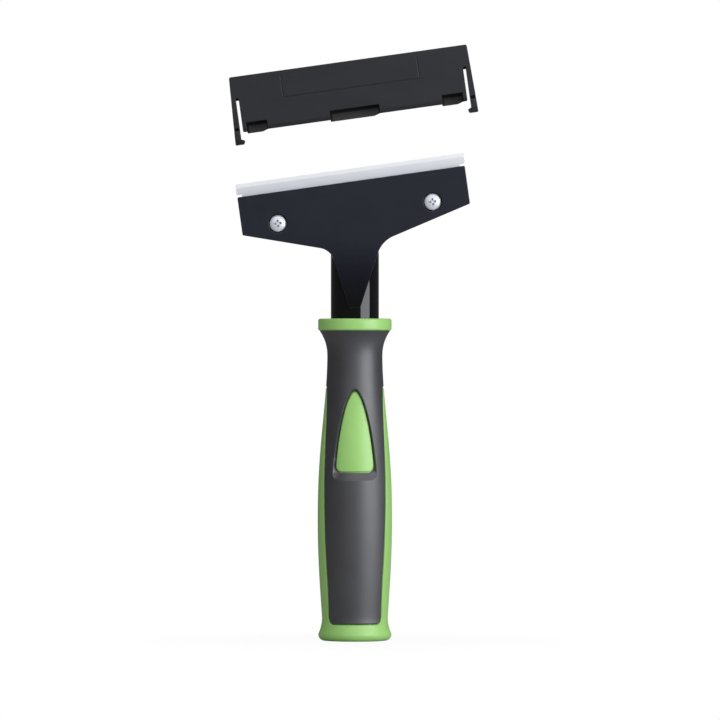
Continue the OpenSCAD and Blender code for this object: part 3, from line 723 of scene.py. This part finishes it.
def handle_core():
    low_z, high_z = BUTT_WIDE_Z, collar_z
    floor = SLEEVE_T + UNDER_SLEEVE
    inset = [GROOVE_W + d for d in edge_rings(STRIPE_EDGE_R)]
    inset += [WALL_RUN / 2, WALL_RUN * 1.5, GROOVE_W - WALL_RUN]
    rings = [moved_out(border, d, closed=False) for d in inset]
    spots, rows = grip_spots(low_z, high_z, CORE_CLEAR)
    levels = rows + [float(r[0].imag) for r in rings]
    lines = [(r, False) for r in rings] + seam_lines(low_z, high_z, levels)
    lines += [(moved_out(thumb, -d), True) for d in (*edge_rings(THUMB_EDGE_R), -WALL_RUN)]
    region = above_border(high_z)

    def surface(p):
        gap = distance(border, p, closed=False)
        open_side = ~is_inside(region, p)
        on_stripe = open_side & (gap > GROOVE_W - WALL_RUN / 2)
        on_thumb = is_inside(moved_out(thumb, WALL_RUN / 2), p)
        drop = np.where(open_side & (gap > WALL_RUN), GROOVE_DEPTH, floor)
        drop = np.where(on_stripe, edge_drop(gap - GROOVE_W, STRIPE_EDGE_R), drop)
        pad = THUMB_DEPTH + edge_drop(distance(thumb, p), THUMB_EDGE_R)
        return wrapped(p, np.where(on_thumb, pad, drop))

    flat, faces = triangulated(lines, spots, lambda p: p.imag > 0)
    quarter = np.radians(np.linspace(0, 90, ARC_STEPS + 1))
    butt = [(BUTT_R - BUTT_EDGE_R * (1 - cos(t)), BUTT_EDGE_R * (1 - sin(t))) for t in quarter]
    low_end = [(float(grip_r(BUTT_WIDE_Z)), BUTT_WIDE_Z), *butt, (SOCKET_R + SOCKET_EDGE, 0),
               (SOCKET_R, SOCKET_EDGE), (SOCKET_R, SOCKET_DEPTH), (0, SOCKET_DEPTH)]
    inner = COLLAR_R - COLLAR_EDGE_R
    turns = [(COLLAR_EDGE_R * cos(t), COLLAR_EDGE_R * (1 - sin(t))) for t in quarter]
    collar = [(inner + x, collar_z + drop) for x, drop in turns[::-1]]
    collar += [(inner + x, handle_top - drop) for x, drop in turns]
    hole = NECK_R + FIT_GAP
    high_end = [(float(grip_r(collar_z)) - floor, collar_z), *collar,
                (hole + NECK_HOLE_EDGE, handle_top), (hole, handle_top - NECK_HOLE_EDGE),
                (hole, neck_foot_z), (SPIGOT_R, neck_foot_z), (SPIGOT_R, spigot_foot_z), (0, spigot_foot_z)]
    shell = joined((surface(flat), faces.tolist()), turned_rings(low_end), turned_rings(high_end))
    mesh = made_mesh("green_core", shell)
    return piece("green_core", mesh, "scraper", ["handle_core"], GREEN)


# Neck and head
def meet(a, u, b, v):
    """Where the line from a along u meets the line from b along v."""
    return a + u * ((b - a).conjugate() * v).imag / (u.conjugate() * v).imag


def head_outline():
    """The plate with its tongue, anticlockwise from the tongue's tip on the right."""
    slant = complex(tan(radians(TONGUE_ANGLE)), 1)
    left, right = on_head(-HEAD_HALF, -HEAD_DOWN), on_head(HEAD_HALF, -HEAD_DOWN)
    left_run = np.exp(1j * (skew - radians(SLOPE_LEFT)))
    right_run = -np.exp(1j * (skew + radians(SLOPE_RIGHT)))
    tip = complex(TONGUE_TIP, tongue_z)
    return rounded([
        (tip, HEAD_CORNER_R),
        (meet(right, right_run, tip, slant), FILLET_RIGHT),
        (right, HEAD_CORNER_R),
        (on_head(HEAD_HALF, HEAD_UP), HEAD_CORNER_R),
        (on_head(-HEAD_HALF, HEAD_UP), HEAD_CORNER_R),
        (left, HEAD_CORNER_R),
        (meet(left, left_run, -tip.conjugate(), -slant.conjugate()), FILLET_LEFT),
        (-tip.conjugate(), HEAD_CORNER_R)])


def head_plate():
    outline = head_outline()
    screws = [on_head(side * half_pitch, 0) for side in (-1, 1)]
    lines = [(moved_out(outline, -d), True) for d in edge_rings(HEAD_EDGE_R)]
    recess = (-HAIR, *edge_rings(RECESS_EDGE_R))
    lines += [(circle(c, RECESS_R + d), True) for c in screws for d in recess]
    flank = 1j * np.linspace(tongue_z - PLATE_PAST, FLANK_TOP_Z, FLANK_STEPS)
    lines += [(side * x + flank, False) for side in (-1, 1) for x in (FLANK_HALF, FLANK_HALF + HAIR)]
    spots = grid(complex(-HEAD_HALF - PLATE_PAST, tongue_z - 1),
                 complex(HEAD_HALF + PLATE_PAST, PLATE_TOP_Z), PLATE_STEP, PLATE_STEP)
    clear = distance(outline, spots) > HEAD_EDGE_R + PLATE_CLEAR
    for c in screws:
        clear &= abs(spots - c) > RECESS_R + RECESS_CLEAR
    spots = spots[clear & (abs(abs(spots.real) - FLANK_HALF) > FLANK_CLEAR)]
    bend_z = tongue_z + BEND_H

    def front(p):
        under = np.clip(bend_z - p.imag, 0, BEND_H)
        y = head_front + arc_dip(HEAD_PROUD - TONGUE_PROUD, BEND_H, under)
        y = y + edge_drop(distance(outline, p), HEAD_EDGE_R)
        for c in screws:
            reach = abs(p - c) - RECESS_R
            edge = edge_drop(np.maximum(reach, 0), RECESS_EDGE_R)
            y = np.where(reach < -HAIR / 2, head_front + RECESS_DEPTH, y + edge)
        return np.column_stack([p.real, y, p.imag])

    def back(p):
        slope = (neck_back_z - p.imag) * (NECK_R - seat_y) / BACK_SLOPE_H - SLOPE_SUNK
        in_neck = abs(p.real) < FLANK_HALF + HAIR / 2
        return np.column_stack([p.real, seat_y + np.where(in_neck, np.clip(slope, 0, -seat_y), 0), p.imag])

    flat, faces = triangulated(lines, spots, lambda p: is_inside(outline, p))
    return sheet(flat, faces, front, back)


# where the neck runs out behind the plate, just below the clamp plate
neck_back_z = clamp_low.z - NECK_BACK_GAP - (NECK_R - CLAMP_FOOT_X) * tan(skew)


def cut_across(bm, place, normal, **settings):
    bmesh.ops.bisect_plane(bm, geom=bm.verts[:] + bm.edges[:] + bm.faces[:], dist=CUT_DIST,
                           plane_co=place, plane_no=normal, **settings)


def neck_shell():
    """The round neck with its spigot, cut off on a slope behind the head."""
    top, foot, spigot_r = neck_back_z, spigot_foot_z + SPIGOT_GAP, SPIGOT_R - FIT_GAP
    rings = [(NECK_R, z) for z in np.linspace(neck_foot_z, top, NECK_RINGS)]
    profile = [(0, foot), (spigot_r, foot), (spigot_r, neck_foot_z), *rings, (0, top)]
    mesh = made_mesh("neck", turned_rings(profile, 2 * ROUND_STEPS))
    bm = bmesh.new()
    bm.from_mesh(mesh)
    across = Vector((0, BACK_SLOPE_H, NECK_R - seat_y)).normalized()
    cut_across(bm, Vector((0, seat_y, top)) * MM, across, clear_outer=True)
    bmesh.ops.holes_fill(bm, edges=[e for e in bm.edges if e.is_boundary])
    bmesh.ops.recalc_face_normals(bm, faces=bm.faces)
    bm.to_mesh(mesh)
    bm.free()
    return mesh


def head_body():
    plate = loose("head", made_mesh("head", head_plate()))
    neck = loose("neck", neck_shell())
    union = plate.modifiers.new("neck", "BOOLEAN")
    union.operation, union.solver, union.object = "UNION", "EXACT", neck
    mesh = evaluated(plate, "head")
    bpy.data.objects.remove(neck)
    head = piece("head_and_neck", mesh, "scraper", ["head_body"], HEAD)
    bm = bmesh.new()
    bm.from_mesh(mesh)

    def on_neck(f):
        return all(abs(v.co.xy.length / MM - NECK_R) < HAIR for v in f.verts)

    for e in bm.edges:
        if len({on_neck(f) for f in e.link_faces}) == 2:
            e.smooth = False
    bm.to_mesh(mesh)
    bm.free()
    return head


# Blade
def blade():
    edge, foot = HEAD_UP + BLADE_OUT, HEAD_UP + BLADE_OUT - BLADE_H
    narrow = BLADE_HALF - NOTCH_W
    shoulder = edge - STRIP_H
    right = [(narrow, foot, 0), (narrow, shoulder, BLADE_CORNER_R), (BLADE_HALF, shoulder, BLADE_CORNER_R),
             (BLADE_HALF, edge, BLADE_CORNER_R)]
    outline = rounded([(on_head(p, q), r) for p, q, r in right]
                      + [(on_head(-p, q), r) for p, q, r in right[::-1]])
    bevel = np.array([on_head(s * (BLADE_HALF + 1), edge - BEVEL_W) for s in (-1, 1)])
    columns = np.linspace(-BLADE_SPOT_P, BLADE_SPOT_P, BLADE_COLUMNS)
    rows = np.linspace(foot + 1, edge - BLADE_SPOT_TOP, BLADE_ROWS)
    spots = np.array([on_head(p, q) for p in columns for q in rows])

    def face(side):
        def sunk(p):
            q = ((p - screws_mid) / along).imag
            drop = np.clip((q - (edge - BEVEL_W)) / BEVEL_W, 0, 1) * BEVEL_DROP
            y = seat_y + drop if side < 0 else seat_y + BLADE_T - drop
            return np.column_stack([p.real, y, p.imag])
        return sunk

    lines = [(outline, True), (bevel, False)]
    flat, faces = triangulated(lines, spots, lambda p: is_inside(outline, p))
    mesh = made_mesh("blade_strip", sheet(flat, faces, face(-1), face(1)))
    return piece("blade_strip", mesh, "scraper", ["blade"], STEEL, sharp=4)


# CAD nodes with their edges broken
def guard_form(bm):
    """Closes the upper end of both slots with a web, which leaves a small dark hole in front."""
    top, front = guard_top - SLOT_TOP, guard_low.y + WEB_IN
    for near, far in ((-SLOT_OUT, -SLOT_IN), (SLOT_IN, SLOT_OUT)):
        low = (guard_mid + near, front, top - WEB_H)
        high = (guard_mid + far, front + WEB_T, top + WEB_H)
        for v in bmesh.ops.create_cube(bm, size=1)["verts"]:
            p, y, q = (a + (b - a) * (c + 0.5) for a, b, c in zip(low, high, v.co))
            v.co = Vector((on_head(p, q).real, y, on_head(p, q).imag)) * MM


def clip_form(bm):
    """Sets a clip's front back under the guard's body and again at the hook."""
    for fall in CLIP_FALLS[1:3]:
        spot = on_head(0, guard_top - fall)
        cut_across(bm, Vector((spot.real, 0, spot.imag)) * MM, (-sin(skew), 0, cos(skew)))
    near, far = (guard_low.y + d for d in CLIP_FACE)
    for v in bm.verts:
        fall = guard_top - head_place(v).imag
        if near < v.co.y / MM < far and fall > CLIP_FALLS[0]:
            v.co.y += float(np.interp(fall, CLIP_FALLS, CLIP_SET_BACK)) * MM


def edged(name, node, body, material, width, sharp=30, form=None):
    """A copy of a CAD node with its flat faces made whole, changed by form, and its edges broken."""
    mesh = bpy.data.meshes.new(name)
    bm = bmesh.new()
    bm.from_mesh(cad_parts[node].data)
    bmesh.ops.remove_doubles(bm, verts=bm.verts, dist=MERGE_DIST)
    bmesh.ops.dissolve_limit(bm, angle_limit=radians(FLAT_ANGLE), verts=bm.verts, edges=bm.edges)
    if form:
        form(bm)
    bm.to_mesh(mesh)
    bm.free()
    obj = piece(name, mesh, body, [node], material, sharp)
    bevel = obj.modifiers.new("edge", "BEVEL")
    bevel.width, bevel.segments, bevel.limit_method = width * MM, BEVEL_SEGMENTS, "ANGLE"
    bevel.angle_limit, bevel.harden_normals = radians(sharp), True
    return obj


# Turned pieces, made by one tree
def turned_tree():
    """Turns a profile about the Z axis and cuts a cross into its top, shallow but for its four ends."""
    group = bpy.data.node_groups.new("turned_piece", "GeometryNodeTree")
    t = Tree(group)
    sockets = {}
    for kind, names in (("Geometry", ("Profile",)), ("Int", ("Round Steps", "Profile Steps")),
                        ("Float", ("Cross Width", "Cross Length", "Cross Depth", "Top")),
                        ("Material", ("Material",))):
        for name in names:
            socket = group.interface.new_socket(name, in_out="INPUT", socket_type="NodeSocket" + kind)
            sockets[name] = socket.identifier
    group.interface.new_socket("Piece", in_out="OUTPUT", socket_type="NodeSocketGeometry")
    given = t.add("NodeGroupInput")
    across, down = given.out("Round Steps"), given.out("Profile Steps")
    cells = t.add("GeometryNodeMeshGrid", {"Size X": 1.0, "Size Y": 1.0, "Vertices X": across + 1,
                                           "Vertices Y": down})
    place = t.add("ShaderNodeSeparateXYZ", [t.add("GeometryNodeInputPosition")])
    turn = (place + 0.5) * (2 * pi)
    curve = t.add("GeometryNodeMeshToCurve", {"Mesh": given.out("Profile")})
    spot = t.add("GeometryNodeSampleCurve", {"Curves": curve, "Factor": place.out("Y") + 0.5},
                 mode="FACTOR", use_all_curves=True).out("Position")
    spot = t.add("ShaderNodeSeparateXYZ", [spot])
    sine, cosine = (t.add("ShaderNodeMath", [turn], operation=op) for op in ("SINE", "COSINE"))
    ring = t.add("ShaderNodeCombineXYZ", [spot * cosine, spot * sine, spot.out("Z")])
    body = t.add("GeometryNodeSetPosition", {"Geometry": cells, "Position": ring})
    body = t.add("GeometryNodeMergeByDistance", {"Geometry": body, "Distance": MERGE_DIST})
    width, length, depth = (given.out("Cross " + name) for name in ("Width", "Length", "Depth"))
    arm = t.add("ShaderNodeCombineXYZ", [width, length, depth * ARM_DEPTH])
    arm = t.add("GeometryNodeMeshCube", {"Size": arm})
    hole = t.add("ShaderNodeCombineXYZ", [width, width * HOLE_LEN, depth * HOLE_DEPTH])
    hole = t.add("GeometryNodeMeshCube", {"Size": hole})
    at = t.add("ShaderNodeCombineXYZ", [0.0, 0.0, given.out("Top")])
    reach = t.add("ShaderNodeCombineXYZ", [0.0, (length - width) * 0.5, 0.0])
    hole = t.add("GeometryNodeTransform", {"Geometry": hole, "Translation": reach})
    cut = t.add("GeometryNodeMeshBoolean", {"Mesh 1": body}, operation="DIFFERENCE", solver="EXACT")
    for cutter, angles in ((arm, (0, 90)), (hole, (0, 90, 180, 270))):
        for angle in angles:
            placed = t.add("GeometryNodeTransform", {"Geometry": cutter, "Translation": at,
                                                     "Rotation": (0, 0, radians(angle))})
            group.links.new(placed.socket, cut.socket.node.inputs["Mesh 2"])
    real = t.add("GeometryNodeRealizeInstances", {"Geometry": cut})
    made = t.add("GeometryNodeSetMaterial", {"Geometry": real, "Material": given.out("Material")})
    t.add("NodeGroupOutput", {0: made})
    return group, sockets


TURNED, TURNED_INPUTS = turned_tree()


def turned_piece(name, profile, centre, material, cross):
    """A mesh turned from (radius, depth) pairs about a line that runs from the front to the back."""
    mesh = bpy.data.meshes.new(name)
    edges = [(i, i + 1) for i in range(len(profile) - 1)]
    mesh.from_pydata([(r * MM, 0, h * MM) for r, h in profile], edges, [])
    obj = loose(name, mesh)
    made = obj.modifiers.new("turned", "NODES")
    made.node_group = TURNED
    width, length, depth = (size * MM for size in cross)
    for key, value in (("Round Steps", TURN_STEPS), ("Profile Steps", PROFILE_STEPS), ("Cross Width", width),
                       ("Cross Length", length), ("Cross Depth", depth),
                       ("Top", max(h for r, h in profile) * MM), ("Material", material)):
        made[TURNED_INPUTS[key]] = value
    turned = evaluated(obj, name)
    facing = Matrix.Rotation(-skew, 4, "Y") @ Matrix.Rotation(pi / 2, 4, "X")
    turned.transform(Matrix.Translation(centre * MM) @ facing)
    bm = bmesh.new()
    bm.from_mesh(turned)
    bmesh.ops.recalc_face_normals(bm, faces=bm.faces)
    bm.to_mesh(turned)
    bm.free()
    return turned


def screw(side):
    centre = middle_mm(f"screw_{side}")
    low, high = box_mm(f"screw_{side}")
    length = high.y - low.y
    dome_h = SCREW_HEAD_H - SCREW_RIM_H
    dome_r = arc_radius(dome_h, SCREW_HEAD_R)
    reach = asin(SCREW_HEAD_R / dome_r)
    dome = [(dome_r * sin(t), length - dome_r + dome_r * cos(t))
            for t in reach * np.linspace(1, 0, DOME_STEPS)]
    under = length - SCREW_HEAD_H
    profile = [(0, 0), (SHANK_R - SHANK_EDGE, 0), (SHANK_R, SHANK_EDGE), (SHANK_R, under),
               (SCREW_HEAD_R - SCREW_EDGE, under), (SCREW_HEAD_R, under + SCREW_EDGE),
               (SCREW_HEAD_R, under + SCREW_RIM_H - DOME_DROP), *dome[1:]]
    mesh = turned_piece(f"screw_{side}", profile, Vector((centre.x, high.y, centre.z)), NICKEL,
                        (CROSS_W, CROSS_LEN, CROSS_DEPTH))
    return piece(f"clamp_screw_{side}", mesh, f"{side}_screw", [f"screw_{side}"],
                 sharp=30)


def zinc_plated(node):
    """Leaves a CAD node as it is and gives it the look of zinc."""
    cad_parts[node].data.materials.clear()
    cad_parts[node].data.materials.append(ZINC)


# The object
grip_sleeve()
handle_core()
head_body()
blade()
for side in ("left", "right"):
    screw(side)
    edged(f"spring_clip_{side}", f"guard_clip_{side}", f"{side}_clip", GUARD,
          GUARD_EDGE_R, form=clip_form)
    zinc_plated(f"press_nut_{side}")
zinc_plated("retaining_pin")
edged("clamp_bar", "clamp_plate", "clamp", CLAMP, CLAMP_EDGE_R)
edged("blade_guard", "guard_shell", "guard", GUARD, GUARD_EDGE_R, sharp=20,
      form=guard_form)

# Camera: a long lens, level, at the height of the handle's upper part
LENS, CAMERA_PLACE = 310.6, (0.00224, -2.705, 0.1221)
camera = bpy.data.objects.new("camera", bpy.data.cameras.new("camera"))
camera.data.lens, camera.data.sensor_width = LENS, 36
camera.location, camera.rotation_euler = CAMERA_PLACE, (radians(90), 0, 0)
camera.data.clip_start, camera.data.clip_end = 0.05, 20
bpy.context.scene.collection.objects.link(camera)
bpy.context.scene.camera = camera

# Floor
FLOOR_HALF, FLOOR_Z = 0.65, -0.0002
# how white the floor is to the camera beside the object, and where that becomes full, in metres
FLOOR_WHITE, SHADOW_INNER, SHADOW_OUTER = 0.96, 0.02, 0.12
floor_mesh = bpy.data.meshes.new("floor")
floor_mesh.from_pydata([(x * FLOOR_HALF, y * FLOOR_HALF, FLOOR_Z)
                        for x, y in ((-1, -1), (1, -1), (1, 1), (-1, 1))], [], [(0, 1, 2, 3)])
floor = loose("floor", floor_mesh)


def floor_paper():
    """Paper that shows a faint shadow near the object and is plain white to the camera elsewhere."""
    f = Finish("floor_paper")
    tooth = f.noise(f.where, 1.5, 3)
    f.bump(tooth, 0.02)
    paper = Value(f, f.shader.outputs[0])
    white = f.add("ShaderNodeEmission", {"Color": (1, 1, 1, 1), "Strength": 1.0})
    away = f.add("ShaderNodeVectorMath", [f.where], out="Value", operation="LENGTH")
    white_share = FLOOR_WHITE + (1 - FLOOR_WHITE) * away.step(SHADOW_INNER, SHADOW_OUTER)
    seen = f.add("ShaderNodeLightPath").out("Is Camera Ray") * white_share
    both = f.add("ShaderNodeMixShader", [seen, paper, white])
    f.tree.links.new(both.socket, f.tree.nodes["Material Output"].inputs["Surface"])
    return f.done(Base_Color=f.mix(tooth, (0.42, 0.42, 0.42), (0.44, 0.44, 0.44)), Roughness=0.9)


floor_mesh.materials.append(floor_paper())


# Light
AIM, LAMP_COLOUR = Vector((0, 0, 0.14)), (0.955, 0.97, 1.0)


def softbox(name, azimuth, elevation, reach, width, height, radiance):
    """A soft lamp that faces the middle of the object and is placed by its direction from it."""
    turn, lift = radians(azimuth), radians(elevation)
    way = Vector((sin(turn) * cos(lift), -cos(turn) * cos(lift), sin(lift)))
    lamp = bpy.data.lights.new(name, "AREA")
    lamp.shape, lamp.size, lamp.size_y = "RECTANGLE", width, height
    lamp.energy, lamp.color = radiance * pi * width * height, LAMP_COLOUR
    obj = bpy.data.objects.new(name, lamp)
    obj.location = AIM + way * reach
    obj.rotation_euler = (-way).to_track_quat("-Z", "Y").to_euler()
    obj.visible_camera = False
    bpy.context.scene.collection.objects.link(obj)


softbox("key", azimuth=51, elevation=8, reach=1.0, width=0.86, height=0.6, radiance=4.4)
softbox("top_front", azimuth=0, elevation=37, reach=1.2, width=1.5, height=1.1, radiance=1.1)

# The world is white to the camera, fills the shadows softly and shows dim in reflections, but for
# a white patch straight behind the object
FILL, DIM = 0.35, 0.10
PATCH_FROM, PATCH_TO = 0.95, 0.99
world = bpy.data.worlds.new("studio")
bpy.context.scene.world = world
world.use_nodes = True
sky = Tree(world.node_tree)
rays = sky.add("ShaderNodeLightPath")
way = sky.add("ShaderNodeSeparateXYZ", [sky.add("ShaderNodeTexCoord").out("Generated")])
behind = way.out("Y").step(PATCH_FROM, PATCH_TO)
mirrored = rays.out("Is Glossy Ray")
level = FILL + mirrored * (DIM - FILL) + behind * mirrored * (1 - DIM)
level = level + rays.out("Is Camera Ray") * (1 - FILL) + rays.out("Is Transmission Ray") * (1 - FILL)
background = world.node_tree.nodes["Background"]
world.node_tree.links.new(level.socket, background.inputs["Strength"])
background.inputs["Color"].default_value = (1, 1, 1, 1)

bpy.context.scene.view_settings.view_transform = "Standard"
